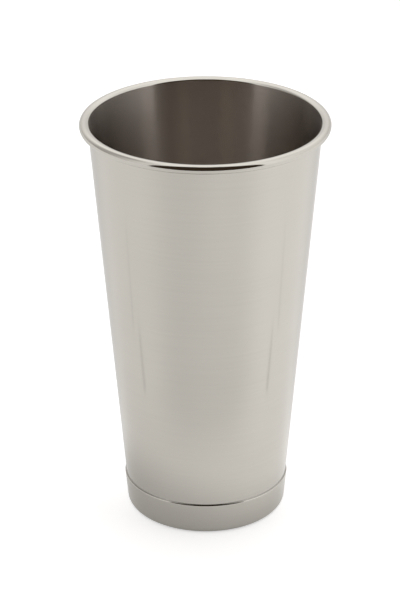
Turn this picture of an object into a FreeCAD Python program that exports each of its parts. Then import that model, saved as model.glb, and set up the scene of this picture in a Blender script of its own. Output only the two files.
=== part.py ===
"""Deep drawn stainless steel drink mixing cup: one sheet, one solid.

A tall tapered cup drawn from a single round blank. The straight wall widens upwards from a
neck near the foot. Below the neck the sheet steps outwards into a slightly proud foot band,
turns through the heel onto a flat standing ring, and rises again to a recessed base panel.
At the mouth the sheet bends tightly outwards into a gently crowned lip, and is rolled over
into a hollow bead, whose cut edge stops just short of the wall.

Frame: millimetres, +Z up, origin on the axis at the plane that the cup stands on.

The sheet has the same thickness everywhere. Its section is a chain of bends joined by
straight runs. Each bend is held as its centre, its middle radius and its headings, so both
faces of the sheet are exact offsets of one path, and the solid is one revolution.
"""

import FreeCAD
import Part

import math
import os

# ---- Driving dimensions (mm, degrees) ---------------------------------------------------

SHEET_THICKNESS = 0.6

OVERALL_HEIGHT = 172.6
RIM_DIAMETER = 101.6  # over the rolled bead
BEAD_DIAMETER = 3.7  # of the rolled bead's round outer half
BEAD_EDGE_CLEARANCE = 0.2  # from the bead's cut edge to the wall
CROWN_RADIUS = 2.3  # of the flatter inner half of the rim
CROWN_SLOPE = 38.0  # of the crown where the mouth bend starts, from the horizontal
MOUTH_BEND_RADIUS = 0.2  # between the wall and the crown

NECK_DIAMETER = 67.8  # outside, where the straight wall begins
NECK_HEIGHT = 14.5
STEP_WIDTH = 0.55  # how far the foot band stands proud of the wall's line
NECK_BEND_RADIUS = 0.3
SHOULDER_BEND_RADIUS = 0.15

FOOT_DIAMETER = 66.1  # outside, where the foot band's line meets the standing plane
HEEL_BEND_RADIUS = 2.6

STANDING_RING_BORE = 51.0  # inner diameter of the flat ring that the cup stands on
RECESS_DEPTH = 1.8  # of the base panel above the standing plane
RECESS_SLOPE = 35.0  # of the short cone round the panel, from the horizontal
RING_BEND_RADIUS = 1.5
PANEL_BEND_RADIUS = 1.5

# Every bend radius above is that of the bend's inner face, whichever face that is.

LEFT = 1  # a bend that turns anticlockwise, seen with the axis on the left
RIGHT = -1

HALF_SHEET = SHEET_THICKNESS / 2.0
TOUCHING = 1e-6  # runs shorter than this are left out


# ---- Plane geometry in the section (x = radius, z = height) -----------------------------


def left_of(heading):
    """Unit vector to the left of a heading, which is an angle from +x towards +z."""
    return (-math.sin(heading), math.cos(heading))


def along(heading):
    return (math.cos(heading), math.sin(heading))


def shifted(point, direction, distance):
    return (point[0] + direction[0] * distance, point[1] + direction[1] * distance)


def between(start, end):
    """Unit vector and distance from start to end."""
    gap = math.dist(start, end)
    return ((end[0] - start[0]) / gap, (end[1] - start[1]) / gap), gap


class Bend:
    """One bend of the sheet: its centre, middle radius, side, and headings in and out."""

    def __init__(self, centre, inner_radius, side, heading_in, heading_out):
        self.centre = centre
        self.middle_radius = inner_radius + HALF_SHEET
        self.side = side
        self.heading_in = heading_in
        self.heading_out = heading_out

    def point(self, heading, offset):
        """The point of the bend with this heading, on the face offset to the left."""
        radius = self.middle_radius - self.side * offset
        return shifted(self.centre, left_of(heading), -self.side * radius)

    def three_points(self, offset):
        middle = (self.heading_in + self.heading_out) / 2.0
        headings = (self.heading_in, middle, self.heading_out)
        return [self.point(heading, offset) for heading in headings]


# ---- The bends, from the centre of the base to the cut edge of the bead ------------------


def base_bends():
    """The recessed panel's edge, then the bend that lands on the standing ring."""
    slope = math.radians(RECESS_SLOPE)
    radii = RING_BEND_RADIUS + PANEL_BEND_RADIUS + SHEET_THICKNESS
    ring_centre = (STANDING_RING_BORE / 2.0, SHEET_THICKNESS + RING_BEND_RADIUS)
    run = (RECESS_DEPTH - radii * (1.0 - math.cos(slope))) / math.sin(slope)
    panel_centre = shifted(ring_centre, left_of(-slope), -radii)
    panel_centre = shifted(panel_centre, along(-slope), -run)
    return [
        Bend(panel_centre, PANEL_BEND_RADIUS, RIGHT, 0.0, -slope),
        Bend(ring_centre, RING_BEND_RADIUS, LEFT, -slope, 0.0),
    ]


def foot_line():
    """Outer face of the foot band: its point on the standing plane, and its heading."""
    low = (FOOT_DIAMETER / 2.0, 0.0)
    high = (NECK_DIAMETER / 2.0 + STEP_WIDTH, NECK_HEIGHT)
    return low, math.atan2(high[1] - low[1], high[0] - low[0])


def bead_centre():
    bead_radius = BEAD_DIAMETER / 2.0
    return (RIM_DIAMETER / 2.0 - bead_radius, OVERALL_HEIGHT - bead_radius)


def crown_centre():
    """Straight under the top of the rim, where the crown becomes the bead."""
    return (bead_centre()[0], OVERALL_HEIGHT - SHEET_THICKNESS - CROWN_RADIUS)


def mouth_centre():
    slope = math.radians(CROWN_SLOPE)
    return shifted(crown_centre(), left_of(slope), CROWN_RADIUS - MOUTH_BEND_RADIUS)


def wall_line():
    """Outer face of the straight wall, from the neck to the mouth bend: its lowest point,
    and its heading."""
    low = (NECK_DIAMETER / 2.0, NECK_HEIGHT)
    towards_mouth, reach = between(low, mouth_centre())
    heading = math.atan2(towards_mouth[1], towards_mouth[0])
    return low, heading + math.asin(MOUTH_BEND_RADIUS / reach)


def heel_bend():
    foot_start, foot_heading = foot_line()
    outer_radius = HEEL_BEND_RADIUS + SHEET_THICKNESS
    # The centre is the outer radius from both the standing plane and the foot band's line.
    from_corner = outer_radius / math.tan((math.pi - foot_heading) / 2.0)
    centre = (foot_start[0] - from_corner, outer_radius)
    return Bend(centre, HEEL_BEND_RADIUS, LEFT, 0.0, foot_heading)


def step_bends():
    """Shoulder and neck: two opposite bends that meet, between foot band and wall."""
    foot_start, foot_heading = foot_line()
    wall_start, wall_heading = wall_line()
    neck_centre = shifted(wall_start, left_of(wall_heading), -NECK_BEND_RADIUS)
    centres_apart = NECK_BEND_RADIUS + SHOULDER_BEND_RADIUS + SHEET_THICKNESS

    # The shoulder's centre lies on a line parallel to the foot band, inside it.
    inside = SHOULDER_BEND_RADIUS + SHEET_THICKNESS
    parallel = shifted(foot_start, left_of(foot_heading), inside)
    direction, reach = between(parallel, neck_centre)
    angle = math.atan2(direction[1], direction[0]) - foot_heading
    aside = reach * math.sin(angle)
    beyond = reach * math.cos(angle)
    climb = beyond - math.sqrt(centres_apart**2 - aside**2)
    shoulder_centre = shifted(parallel, along(foot_heading), climb)

    across, _ = between(shoulder_centre, neck_centre)
    ledge_heading = math.atan2(across[0], -across[1])
    return [
        Bend(shoulder_centre, SHOULDER_BEND_RADIUS, LEFT, foot_heading, ledge_heading),
        Bend(neck_centre, NECK_BEND_RADIUS, RIGHT, ledge_heading, wall_heading),
    ]


def rim_bends():
    """Mouth bend, crown and bead: the sheet turns outwards, over, and back to the wall."""
    slope = math.radians(CROWN_SLOPE)
    wall_start, wall_heading = wall_line()
    bead_radius = BEAD_DIAMETER / 2.0

    # The cut edge stops where its outer corner comes within the clearance of the wall.
    towards_bead, reach = between(wall_start, bead_centre())
    angle = wall_heading - math.atan2(towards_bead[1], towards_bead[0])
    from_wall = reach * math.sin(angle)
    short = math.acos((from_wall - BEAD_EDGE_CLEARANCE) / bead_radius)
    cut_heading = wall_heading + short - 2.0 * math.pi
    return [
        Bend(mouth_centre(), MOUTH_BEND_RADIUS, RIGHT, wall_heading, slope),
        Bend(crown_centre(), CROWN_RADIUS, RIGHT, slope, 0.0),
        Bend(bead_centre(), bead_radius - SHEET_THICKNESS, RIGHT, 0.0, cut_heading),
    ]


# ---- The solid --------------------------------------------------------------------------


def vector(point):
    return FreeCAD.Vector(point[0], 0.0, point[1])


def straight(start, end):
    """A straight edge as a list, or an empty list where the bends already touch."""
    if math.dist(start, end) < TOUCHING:
        return []
    return [Part.LineSegment(vector(start), vector(end)).toShape()]


def sheet_face(bends, offset):
    """One face of the sheet as edges, with its first and last point."""
    start = (0.0, bends[0].point(0.0, offset)[1])
    edges = []
    last = start
    for bend in bends:
        points = bend.three_points(offset)
        edges += straight(last, points[0])
        edges.append(Part.Arc(*[vector(point) for point in points]).toShape())
        last = points[-1]
    return edges, start, last


def cup():
    """The whole cup: the closed section of the sheet, revolved about the axis."""
    bends = base_bends() + [heel_bend()] + step_bends() + rim_bends()
    under, under_start, under_end = sheet_face(bends, -HALF_SHEET)
    upper, upper_start, upper_end = sheet_face(bends, HALF_SHEET)
    edges = under + straight(under_end, upper_end) + upper
    edges += straight(upper_start, under_start)
    section = Part.Face(Part.Wire(Part.__sortEdges__(edges)))
    axis = FreeCAD.Vector(0.0, 0.0, 1.0)
    revolved = section.revolve(FreeCAD.Vector(0.0, 0.0, 0.0), axis, 360.0)
    return revolved if revolved.ShapeType == "Solid" else revolved.Solids[0]


def main():
    os.makedirs("parts", exist_ok=True)
    shape = cup()
    shape.exportStep(os.path.join("parts", "cup.step"))
    box = shape.BoundBox
    print("cup: valid", shape.isValid(), "volume mm3", round(shape.Volume, 1))
    print("size mm", [round(side, 3) for side in (box.XLength, box.YLength, box.ZLength)])


main()
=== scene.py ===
"""Studio picture of a deep drawn stainless steel mixing cup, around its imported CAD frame.

The cup's sheet is revolved again here from the sizes of the CAD source, with many more
facets and exact normals, because polished steel shows every facet in its reflections.
It stands on a pale floor in a tent of soft light, whose open front is the dark shape that
the rim and the inside of the cup reflect.

Units are metres, in the CAD row's own frame.
"""

import math

import bpy
from mathutils import Matrix, Vector

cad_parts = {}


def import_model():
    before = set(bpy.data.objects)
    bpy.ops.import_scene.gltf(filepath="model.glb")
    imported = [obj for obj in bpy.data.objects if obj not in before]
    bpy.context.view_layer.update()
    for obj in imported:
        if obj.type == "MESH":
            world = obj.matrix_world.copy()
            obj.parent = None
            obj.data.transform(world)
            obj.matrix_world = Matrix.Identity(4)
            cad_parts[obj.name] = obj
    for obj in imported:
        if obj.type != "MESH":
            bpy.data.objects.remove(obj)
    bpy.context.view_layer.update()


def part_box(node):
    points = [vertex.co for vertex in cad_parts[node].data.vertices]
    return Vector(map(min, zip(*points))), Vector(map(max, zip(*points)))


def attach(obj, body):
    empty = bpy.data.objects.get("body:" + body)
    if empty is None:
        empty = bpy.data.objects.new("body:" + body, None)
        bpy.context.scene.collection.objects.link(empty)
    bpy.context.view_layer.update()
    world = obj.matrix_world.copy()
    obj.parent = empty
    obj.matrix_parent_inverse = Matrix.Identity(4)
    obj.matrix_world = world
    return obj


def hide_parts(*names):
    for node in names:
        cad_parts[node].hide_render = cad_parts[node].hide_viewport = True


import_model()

MM = 0.001

# ---- Sizes of the sheet, as in the CAD source -------------------------------------------

CUP_LOW, CUP_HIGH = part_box("cup")
OVERALL_HEIGHT = CUP_HIGH.z
RIM_RADIUS = CUP_HIGH.x
SHEET = 0.6 * MM
BEAD_RADIUS = 1.85 * MM
BEAD_EDGE_CLEARANCE = 0.2 * MM
CROWN_RADIUS = 2.3 * MM
CROWN_SLOPE = math.radians(38.0)
MOUTH_BEND_RADIUS = 0.2 * MM
NECK_RADIUS = 33.9 * MM
NECK_HEIGHT = 14.5 * MM
STEP_WIDTH = 0.55 * MM
NECK_BEND_RADIUS = 0.3 * MM
SHOULDER_BEND_RADIUS = 0.15 * MM
FOOT_RADIUS = 33.05 * MM
HEEL_BEND_RADIUS = 2.6 * MM
RING_BORE_RADIUS = 25.5 * MM
RECESS_DEPTH = 1.8 * MM
RECESS_SLOPE = math.radians(35.0)
RING_BEND_RADIUS = 1.5 * MM
PANEL_BEND_RADIUS = 1.5 * MM

AROUND = 288  # facets round the axis
DIGITS = 8  # of the metres by which points of the section are told apart
BEND_STEP = math.radians(7.0)  # of a bend's arc, for each facet
TOUCHING = 1e-7
LEFT = 1
RIGHT = -1

OUTSIDE = 0  # material slots of the cup
INSIDE = 1


# ---- The section of the sheet: x is radius, y is height ---------------------------------


def along(heading):
    return Vector((math.cos(heading), math.sin(heading)))


def left_of(heading):
    return Vector((-math.sin(heading), math.cos(heading)))


def heading_of(vector):
    return math.atan2(vector.y, vector.x)


class Bend:
    """One bend of the sheet: centre, middle radius, side, and headings in and out."""

    def __init__(self, centre, inner_radius, side, heading_in, heading_out):
        self.centre = centre
        self.radius = inner_radius + SHEET / 2
        self.side = side
        self.heading_in = heading_in
        self.heading_out = heading_out

    def points(self, offset):
        """Points of one face of the sheet, each with the heading of the sheet there."""
        turn = self.heading_out - self.heading_in
        count = max(3, math.ceil(abs(turn) / BEND_STEP))
        headings = [self.heading_in + turn * i / count for i in range(count + 1)]
        reach = self.side * self.radius - offset
        return [(self.centre - left_of(heading) * reach, heading) for heading in headings]


def base_bends():
    radii = RING_BEND_RADIUS + PANEL_BEND_RADIUS + SHEET
    ring_centre = Vector((RING_BORE_RADIUS, SHEET + RING_BEND_RADIUS))
    run = (RECESS_DEPTH - radii * (1 - math.cos(RECESS_SLOPE))) / math.sin(RECESS_SLOPE)
    panel_centre = ring_centre - left_of(-RECESS_SLOPE) * radii - along(-RECESS_SLOPE) * run
    return [
        Bend(panel_centre, PANEL_BEND_RADIUS, RIGHT, 0.0, -RECESS_SLOPE),
        Bend(ring_centre, RING_BEND_RADIUS, LEFT, -RECESS_SLOPE, 0.0),
    ]


def foot_line():
    low = Vector((FOOT_RADIUS, 0.0))
    high = Vector((NECK_RADIUS + STEP_WIDTH, NECK_HEIGHT))
    return low, heading_of(high - low)


def bead_centre():
    return Vector((RIM_RADIUS - BEAD_RADIUS, OVERALL_HEIGHT - BEAD_RADIUS))


def crown_centre():
    return Vector((bead_centre().x, OVERALL_HEIGHT - SHEET - CROWN_RADIUS))


def mouth_centre():
    return crown_centre() + left_of(CROWN_SLOPE) * (CROWN_RADIUS - MOUTH_BEND_RADIUS)


def wall_line():
    low = Vector((NECK_RADIUS, NECK_HEIGHT))
    to_mouth = mouth_centre() - low
    return low, heading_of(to_mouth) + math.asin(MOUTH_BEND_RADIUS / to_mouth.length)


def heel_bend():
    foot_start, foot_heading = foot_line()
    outer = HEEL_BEND_RADIUS + SHEET
    centre = Vector((foot_start.x - outer / math.tan((math.pi - foot_heading) / 2), outer))
    return Bend(centre, HEEL_BEND_RADIUS, LEFT, 0.0, foot_heading)


def step_bends():
    foot_start, foot_heading = foot_line()
    wall_start, wall_heading = wall_line()
    neck_centre = wall_start - left_of(wall_heading) * NECK_BEND_RADIUS
    apart = NECK_BEND_RADIUS + SHOULDER_BEND_RADIUS + SHEET
    inside = SHOULDER_BEND_RADIUS + SHEET
    parallel = foot_start + left_of(foot_heading) * inside
    to_neck = neck_centre - parallel
    aside = to_neck.dot(left_of(foot_heading))
    climb = to_neck.dot(along(foot_heading)) - math.sqrt(apart**2 - aside**2)
    shoulder_centre = parallel + along(foot_heading) * climb
    across = neck_centre - shoulder_centre
    ledge_heading = math.atan2(across.x, -across.y)
    return [
        Bend(shoulder_centre, SHOULDER_BEND_RADIUS, LEFT, foot_heading, ledge_heading),
        Bend(neck_centre, NECK_BEND_RADIUS, RIGHT, ledge_heading, wall_heading),
    ]


def rim_bends():
    wall_start, wall_heading = wall_line()
    from_wall = -(bead_centre() - wall_start).dot(left_of(wall_heading))
    short = math.acos((from_wall - BEAD_EDGE_CLEARANCE) / BEAD_RADIUS)
    cut_heading = wall_heading + short - 2 * math.pi
    return [
        Bend(mouth_centre(), MOUTH_BEND_RADIUS, RIGHT, wall_heading, CROWN_SLOPE),
        Bend(crown_centre(), CROWN_RADIUS, RIGHT, CROWN_SLOPE, 0.0),
        Bend(bead_centre(), BEAD_RADIUS - SHEET, RIGHT, 0.0, cut_heading),
    ]


def section():
    """The closed section as runs: start, its normal, end, its normal, face and finish."""
    bends = base_bends() + [heel_bend()] + step_bends() + rim_bends()
    mouth = mouth_centre().y
    runs = []
    ends = []
    for offset in (-SHEET / 2, SHEET / 2):
        upper = offset > 0
        sign = 1.0 if upper else -1.0
        points = [(Vector((0.0, bends[0].points(offset)[0][0].y)), 0.0)]
        for bend in bends:
            points += bend.points(offset)
        ends.append(points[-1])
        inside = upper
        for (start, start_heading), (end, end_heading) in zip(points, points[1:]):
            inside = inside and start.y < mouth
            if (end - start).length < TOUCHING:
                continue
            start_normal = left_of(start_heading) * sign
            end_normal = left_of(end_heading) * sign
            finish = INSIDE if inside else OUTSIDE
            runs.append((start, start_normal, end, end_normal, upper, finish))
    (under, heading), (over, _) = ends
    runs.append((under, along(heading), over, along(heading), False, OUTSIDE))
    return runs


# ---- Revolving the section --------------------------------------------------------------


def revolved(name, runs, finishes):
    """A closed mesh of revolution with the section's exact normals, and one vertex on the
    axis for each face of the sheet."""
    vertices = []
    rings = {}

    def ring(point):
        key = (round(point.x, DIGITS), round(point.y, DIGITS))
        if key not in rings:
            first = len(vertices)
            if point.x < TOUCHING:
                vertices.append((0.0, 0.0, point.y))
                rings[key] = [first] * (AROUND + 1)
            else:
                for i in range(AROUND):
                    angle = 2 * math.pi * i / AROUND
                    vertices.append((point.x * math.cos(angle), point.x * math.sin(angle), point.y))
                rings[key] = [first + i % AROUND for i in range(AROUND + 1)]
        return rings[key]

    polygons = []
    normals = []
    materials = []
    for start, start_normal, end, end_normal, upper, finish in runs:
        low, high = ring(start), ring(end)
        for i in range(AROUND):
            corners = [(low[i], start_normal, i), (low[i + 1], start_normal, i + 1),
                       (high[i + 1], end_normal, i + 1), (high[i], end_normal, i)]
            if low[i] == low[i + 1]:
                corners.pop(0)
            if upper:
                corners.reverse()
            polygons.append([corner[0] for corner in corners])
            materials.append(finish)
            for _, normal, step in corners:
                angle = 2 * math.pi * step / AROUND
                normals.append((normal.x * math.cos(angle), normal.x * math.sin(angle), normal.y))
    mesh = bpy.data.meshes.new(name)
    mesh.from_pydata(vertices, [], polygons)
    for finish in finishes:
        mesh.materials.append(finish)
    mesh.polygons.foreach_set("material_index", materials)
    mesh.polygons.foreach_set("use_smooth", [True] * len(polygons))
    mesh.validate(clean_customdata=False)
    mesh.normals_split_custom_set(normals)
    mesh.update()
    piece = bpy.data.objects.new(name, mesh)
    bpy.context.scene.collection.objects.link(piece)
    return piece


# ---- Steel ------------------------------------------------------------------------------

SCATTER_TURN = 0.25  # of a turn, so that the scatter runs up and down the wall
LINES_PER_METRE = 1500.0
LINE_DETAIL = 3.0
LINE_DRAW = 0.02  # the lines' scale round the cup, against their scale up it
LINE_HEIGHT = 0.01 * MM
CLOUDS_PER_METRE = 25.0
CLOUD_DETAIL = 2.0
GRAIN_LOW = 0.6  # of lines and clouds added together
GRAIN_HIGH = 1.4
# Bounds of a band of painted shade: the steel's colour is darkened in the step's crease, just under
# the neck.
CREASE_SHADE_LOW = NECK_HEIGHT - 0.5 * MM
CREASE_SHADE_SOFT = 0.1 * MM

POLISHED = {
    "colour": (0.57, 0.549, 0.503),
    "tone_spread": 0.04,
    "roughness": 0.11,
    "roughness_spread": 0.02,
    "anisotropic": 0.3,
    "line_depth": 0.01,
    # Painted shade: how far the colour is darkened in the step's crease.
    "crease_painted_shade": 0.6,
}
LINED = {
    "colour": (0.55, 0.505, 0.462),
    "tone_spread": 0.04,
    "roughness": 0.25,
    "roughness_spread": 0.015,
    "anisotropic": 1.0,
    "line_depth": 0.003,
    "crease_painted_shade": 1.0,
}


def node_material(name):
    material = bpy.data.materials.new(name)
    material.use_nodes = True
    tree = material.node_tree
    tree.nodes.clear()
    return material, tree


def value_node(tree, operation, first, second=None):
    """A Math node on two sockets or numbers; gives its result socket."""
    node = tree.nodes.new("ShaderNodeMath")
    node.operation = operation
    for socket, value in zip(node.inputs, (first, second)):
        if isinstance(value, (int, float)):
            socket.default_value = value
        elif value is not None:
            tree.links.new(value, socket)
    return node.outputs[0]


def ramp(tree, value, low, high, at_low=0.0, at_high=1.0):
    """Runs smoothly from at_low, where the value is low, to at_high."""
    node = tree.nodes.new("ShaderNodeMapRange")
    node.interpolation_type = "SMOOTHSTEP"
    tree.links.new(value, node.inputs["Value"])
    node.inputs["From Min"].default_value = low
    node.inputs["From Max"].default_value = high
    node.inputs["To Min"].default_value = at_low
    node.inputs["To Max"].default_value = at_high
    return node.outputs["Result"]


def noise(tree, vector, scale, detail):
    node = tree.nodes.new("ShaderNodeTexNoise")
    tree.links.new(vector, node.inputs["Vector"])
    node.inputs["Scale"].default_value = scale
    node.inputs["Detail"].default_value = detail
    return node.outputs["Fac"]


def steel(name, look):
    """Steel polished round and round: fine lines about the axis, faint soft clouds, and painted
    shade that darkens the colour in a thin band in the crease of the step.
    """
    material, tree = node_material(name)
    nodes, links = tree.nodes, tree.links
    out = nodes.new("ShaderNodeOutputMaterial")
    shader = nodes.new("ShaderNodeBsdfPrincipled")
    links.new(shader.outputs["BSDF"], out.inputs["Surface"])
    shader.inputs["Metallic"].default_value = 1.0
    shader.inputs["Anisotropic"].default_value = look["anisotropic"]
    shader.inputs["Anisotropic Rotation"].default_value = SCATTER_TURN
    tangent = nodes.new("ShaderNodeTangent")
    tangent.direction_type = "RADIAL"
    tangent.axis = "Z"
    links.new(tangent.outputs[0], shader.inputs["Tangent"])

    place = nodes.new("ShaderNodeTexCoord").outputs["Object"]
    stretch = nodes.new("ShaderNodeMapping")
    stretch.inputs["Scale"].default_value = (LINE_DRAW, LINE_DRAW, 1.0)
    links.new(place, stretch.inputs["Vector"])
    lines = noise(tree, stretch.outputs[0], LINES_PER_METRE, LINE_DETAIL)
    clouds = noise(tree, place, CLOUDS_PER_METRE, CLOUD_DETAIL)

    smoothest = look["roughness"] - look["roughness_spread"]
    roughest = look["roughness"] + look["roughness_spread"]
    grain = value_node(tree, "ADD", lines, clouds)
    rough = ramp(tree, grain, GRAIN_LOW, GRAIN_HIGH, smoothest, roughest)
    links.new(rough, shader.inputs["Roughness"])

    height = nodes.new("ShaderNodeSeparateXYZ")
    links.new(place, height.inputs[0])
    z = height.outputs["Z"]
    # Painted shade: the base colour is darkened in a thin band just under the neck, where the
    # step's crease looks dark.
    over = ramp(tree, z, CREASE_SHADE_LOW - CREASE_SHADE_SOFT, CREASE_SHADE_LOW + CREASE_SHADE_SOFT)
    under = ramp(tree, z, NECK_HEIGHT + CREASE_SHADE_SOFT, NECK_HEIGHT - CREASE_SHADE_SOFT)
    in_painted_shade = value_node(tree, "MULTIPLY", over, under)
    crease_painted_shade = ramp(tree, in_painted_shade, 0.0, 1.0, 1.0, look["crease_painted_shade"])
    grain_tone = ramp(tree, grain, GRAIN_LOW, GRAIN_HIGH, 1.0 - look["tone_spread"], 1.0)
    tone = value_node(tree, "MULTIPLY", crease_painted_shade, grain_tone)
    tint = nodes.new("ShaderNodeVectorMath")
    tint.operation = "SCALE"
    tint.inputs[0].default_value = look["colour"]
    links.new(tone, tint.inputs["Scale"])
    links.new(tint.outputs[0], shader.inputs["Base Color"])

    bump = nodes.new("ShaderNodeBump")
    bump.inputs["Strength"].default_value = look["line_depth"]
    bump.inputs["Distance"].default_value = LINE_HEIGHT
    links.new(lines, bump.inputs["Height"])
    links.new(bump.outputs[0], shader.inputs["Normal"])
    return material


def polar(tree, x, y):
    """Distance from the cup's axis, and azimuth from the front, positive to the right."""
    squares = [value_node(tree, "MULTIPLY", side, side) for side in (x, y)]
    distance = value_node(tree, "SQRT", value_node(tree, "ADD", *squares))
    return distance, value_node(tree, "ARCTAN2", x, value_node(tree, "MULTIPLY", y, -1.0))


# ---- Floor ------------------------------------------------------------------------------

FLOOR_HALF = 6.0
FLOOR_FRONT = -0.9  # the sweep's near edge, past which the mirror of the rim sees the dark
FLOOR_COLOUR = 0.65
FLOOR_GLOW = 0.66  # where the camera sees it
GLOW_EDGE = 6.0 * MM  # in which the glow fades out under the cup

# Tones of that glow as the steel mirrors it, where 1 is all of it. They multiply.
LEFT_TONE = 0.71
RIGHT_TONE = 0.87
SIDES_START = 0.1  # from the middle to full left or right tone
FRONT_TONE = 0.74
FRONT_FULL = math.radians(15.0)  # azimuths from the front
FRONT_END = math.radians(80.0)
FRONT_START = 0.06  # from the axis
FRONT_DEEP = 0.14
BACK_TONE = 0.55
BACK_START = math.radians(115.0)
BACK_FULL = math.radians(150.0)
# Painted shade round the foot: the glow that only reflections see is lower close round the foot,
# centred a little to the left.
SHADE_TONE = 0.5  # close round the foot
SHADE_SHIFT = 12.0 * MM  # to the left
SHADE_WIDTH = 45.0 * MM
# Painted reflections: dark streaks in the floor's glow that only the steel's reflections see,
# standing in for seams of a tent.
PAINTED_SEAM_WIDTH = 6.0 * MM
PAINTED_SEAM_FADE_IN = 0.01
PAINTED_SEAM_FADE_OUT = 0.05
PAINTED_SEAMS = [
    {"y": -0.035, "near": 0.115, "far": 0.20, "tone": 0.55},
    {"y": -0.008, "near": 0.17, "far": 0.30, "tone": 0.7},
]


def painted_seam_tone(tree, x, y, seam):
    """1, and less along one pair of painted dark streaks in the floor's glow, which the steel
    mirrors like seams of a tent; they run out to both sides.
    """
    off_seam = value_node(tree, "ABSOLUTE", value_node(tree, "SUBTRACT", y, seam["y"]))
    beside = value_node(tree, "ABSOLUTE", x)
    across = ramp(tree, off_seam, PAINTED_SEAM_WIDTH, 0.0)
    start = ramp(tree, beside, seam["near"], seam["near"] + PAINTED_SEAM_FADE_IN)
    end = ramp(tree, beside, seam["far"], seam["far"] - PAINTED_SEAM_FADE_OUT)
    on_painted_seam = value_node(tree, "MULTIPLY", across, value_node(tree, "MULTIPLY", start, end))
    return ramp(tree, on_painted_seam, 0.0, 1.0, 1.0, seam["tone"])


def sweep_tone(tree, x, y):
    """The tone of the floor's glow as the steel mirrors it, with 1 for all of it."""
    distance, azimuth = polar(tree, x, y)
    turned = value_node(tree, "ABSOLUTE", azimuth)
    ahead = ramp(tree, turned, FRONT_END, FRONT_FULL)
    far = ramp(tree, distance, FRONT_START, FRONT_DEEP)
    tones = [
        ramp(tree, x, -SIDES_START, SIDES_START, LEFT_TONE, RIGHT_TONE),
        ramp(tree, value_node(tree, "MULTIPLY", ahead, far), 0.0, 1.0, 1.0, FRONT_TONE),
        ramp(tree, turned, BACK_START, BACK_FULL, 1.0, BACK_TONE),
    ]
    # Painted shade in the mirrored glow, round the foot.
    from_shade, _ = polar(tree, value_node(tree, "ADD", x, SHADE_SHIFT), y)
    tones.append(ramp(tree, from_shade, FOOT_RADIUS, FOOT_RADIUS + SHADE_WIDTH, SHADE_TONE, 1.0))
    tones += [painted_seam_tone(tree, x, y, seam) for seam in PAINTED_SEAMS]
    product = tones[0]
    for tone in tones[1:]:
        product = value_node(tree, "MULTIPLY", product, tone)
    return product


def floor_material():
    """Matt white, with the glow of a lit sweep that only the camera and reflections see."""
    material, tree = node_material("floor_white")
    nodes, links = tree.nodes, tree.links
    out = nodes.new("ShaderNodeOutputMaterial")
    diffuse = nodes.new("ShaderNodeBsdfDiffuse")
    diffuse.inputs["Color"].default_value = (*[FLOOR_COLOUR] * 3, 1.0)
    glow = nodes.new("ShaderNodeEmission")
    split = nodes.new("ShaderNodeSeparateXYZ")
    links.new(nodes.new("ShaderNodeNewGeometry").outputs["Position"], split.inputs[0])
    x, y, _ = split.outputs

    rays = nodes.new("ShaderNodeLightPath").outputs
    mirrored = value_node(tree, "MAXIMUM", rays["Is Glossy Ray"], rays["Is Transmission Ray"])
    toned = value_node(tree, "MULTIPLY", mirrored, sweep_tone(tree, x, y))
    seen = value_node(tree, "MAXIMUM", rays["Is Camera Ray"], toned)
    distance, _ = polar(tree, x, y)
    clear = ramp(tree, distance, FOOT_RADIUS - GLOW_EDGE, FOOT_RADIUS, 0.0, FLOOR_GLOW)
    links.new(value_node(tree, "MULTIPLY", clear, seen), glow.inputs["Strength"])
    both = nodes.new("ShaderNodeAddShader")
    links.new(diffuse.outputs[0], both.inputs[0])
    links.new(glow.outputs[0], both.inputs[1])
    links.new(both.outputs[0], out.inputs["Surface"])
    return material


def floor():
    mesh = bpy.data.meshes.new("floor")
    h = FLOOR_HALF
    z = CUP_LOW.z
    near = FLOOR_FRONT
    mesh.from_pydata([(-h, near, z), (h, near, z), (h, h, z), (-h, h, z)], [], [(0, 1, 2, 3)])
    piece = bpy.data.objects.new("floor", mesh)
    bpy.context.scene.collection.objects.link(piece)
    mesh.materials.append(floor_material())


# ---- Tent of light ----------------------------------------------------------------------

OVERHEAD_LEVEL = 1.28
BACKDROP_LEVEL = 0.75
BACKDROP_LOW = math.radians(5.0)  # elevations
BACKDROP_HIGH = math.radians(40.0)
LEFT_EDGE_LEVEL = 0.95  # beside the opening
LEFT_LEVEL = 0.5
RIGHT_EDGE_LEVEL = 1.2
RIGHT_LEVEL = 1.05
SIDES_NEAR = math.radians(55.0)  # azimuths from the front
SIDES_WIDE = math.radians(105.0)
BEHIND_START = math.radians(110.0)
BEHIND_FULL = math.radians(150.0)
HIGH_START = math.radians(50.0)  # elevations
HIGH_FULL = math.radians(75.0)
SIDES_MEET = math.radians(1.0)
OPENING_COLOUR = (0.045, 0.031, 0.02)
OPENING_HALF_WIDTH = math.radians(51.0)
OPENING_TURN = math.radians(1.0)  # to the right
OPENING_TOP = math.radians(82.0)
SIDE_SOFT = math.radians(1.5)
TOP_SOFT = 2 * SIDE_SOFT


def mixed(tree, share, first, second):
    """The first value where the share is 0, and the second where it is 1."""
    rest = value_node(tree, "SUBTRACT", 1.0, share)
    return value_node(tree, "ADD", value_node(tree, "MULTIPLY", first, rest),
                      value_node(tree, "MULTIPLY", second, share))


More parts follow.
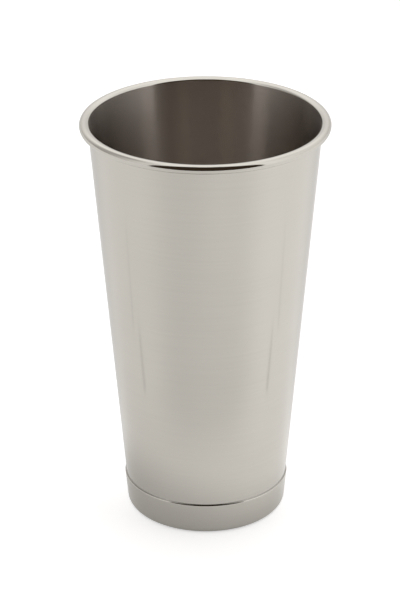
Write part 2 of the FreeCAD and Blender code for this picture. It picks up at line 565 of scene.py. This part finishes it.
def tent_level(tree, azimuth, elevation):
    """Brightest overhead, and fallen off from the opening's edges towards the sides."""
    turned = value_node(tree, "ABSOLUTE", azimuth)
    on_right = ramp(tree, azimuth, 0.0, SIDES_MEET)
    left = ramp(tree, turned, SIDES_NEAR, SIDES_WIDE, LEFT_EDGE_LEVEL, LEFT_LEVEL)
    right = ramp(tree, turned, SIDES_NEAR, SIDES_WIDE, RIGHT_EDGE_LEVEL, RIGHT_LEVEL)
    back = ramp(tree, elevation, BACKDROP_LOW, BACKDROP_HIGH, BACKDROP_LEVEL, OVERHEAD_LEVEL)
    behind = ramp(tree, turned, BEHIND_START, BEHIND_FULL)
    round_about = mixed(tree, behind, mixed(tree, on_right, left, right), back)
    high = ramp(tree, elevation, HIGH_START, HIGH_FULL)
    return mixed(tree, high, round_about, OVERHEAD_LEVEL)


def world():
    """The tent by direction, with a dark room past its open front. The camera sees white."""
    made = bpy.data.worlds.new("light_tent")
    bpy.context.scene.world = made
    made.use_nodes = True
    tree = made.node_tree
    tree.nodes.clear()
    nodes, links = tree.nodes, tree.links
    split = nodes.new("ShaderNodeSeparateXYZ")
    links.new(nodes.new("ShaderNodeTexCoord").outputs["Generated"], split.inputs[0])
    x, y, z = split.outputs
    elevation = value_node(tree, "ARCSINE", z)
    _, azimuth = polar(tree, x, y)
    off_front = value_node(tree, "ABSOLUTE", value_node(tree, "SUBTRACT", azimuth, OPENING_TURN))
    beside = ramp(tree, off_front, OPENING_HALF_WIDTH - SIDE_SOFT, OPENING_HALF_WIDTH + SIDE_SOFT)
    above = ramp(tree, elevation, OPENING_TOP - TOP_SOFT, OPENING_TOP + TOP_SOFT)
    covered = value_node(tree, "MAXIMUM", beside, above)
    tent = tent_level(tree, azimuth, elevation)
    camera_ray = nodes.new("ShaderNodeLightPath").outputs["Is Camera Ray"]
    level = value_node(tree, "MAXIMUM", value_node(tree, "MULTIPLY", tent, covered), camera_ray)
    light = nodes.new("ShaderNodeBackground")
    light.inputs["Color"].default_value = (1.0, 1.0, 1.0, 1.0)
    links.new(level, light.inputs["Strength"])
    room = nodes.new("ShaderNodeBackground")
    room.inputs["Color"].default_value = (*OPENING_COLOUR, 1.0)
    both = nodes.new("ShaderNodeAddShader")
    links.new(light.outputs[0], both.inputs[0])
    links.new(room.outputs[0], both.inputs[1])
    out = nodes.new("ShaderNodeOutputWorld")
    links.new(both.outputs[0], out.inputs["Surface"])


# ---- Camera -----------------------------------------------------------------------------

CAMERA_TARGET = Vector((-2.34 * MM, 0.0, 90.04 * MM))
CAMERA_DISTANCE = 1.129
CAMERA_ELEVATION = math.radians(25.21)
CAMERA_ROLL = math.radians(-0.178)
CAMERA_LENS = 160.7  # millimetres, on the default 36 mm sensor
CLIP_NEAR = 0.01
CLIP_FAR = 50.0


def camera():
    data = bpy.data.cameras.new("camera")
    data.lens = CAMERA_LENS
    data.clip_start = CLIP_NEAR
    data.clip_end = CLIP_FAR
    piece = bpy.data.objects.new("camera", data)
    bpy.context.scene.collection.objects.link(piece)
    back = Vector((0.0, -math.cos(CAMERA_ELEVATION), math.sin(CAMERA_ELEVATION)))
    right = Vector((1.0, 0.0, 0.0))
    up = back.cross(right)
    turned = right * math.cos(CAMERA_ROLL) + up * math.sin(CAMERA_ROLL)
    up = back.cross(turned)
    pose = Matrix((turned, up, back)).transposed().to_4x4()
    pose.translation = CAMERA_TARGET + back * CAMERA_DISTANCE
    piece.matrix_world = pose
    bpy.context.scene.camera = piece


# ---- The scene --------------------------------------------------------------------------

BOUNCES = 24  # enough for the mirror images inside the cup

finishes = [steel("steel_outside", POLISHED), steel("steel_inside", LINED)]
cup = revolved("mixing_cup", section(), finishes)
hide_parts("cup")
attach(cup, "root")

floor()
world()
camera()

scene = bpy.context.scene
scene.view_settings.view_transform = "Standard"
scene.cycles.max_bounces = BOUNCES
scene.cycles.glossy_bounces = BOUNCES
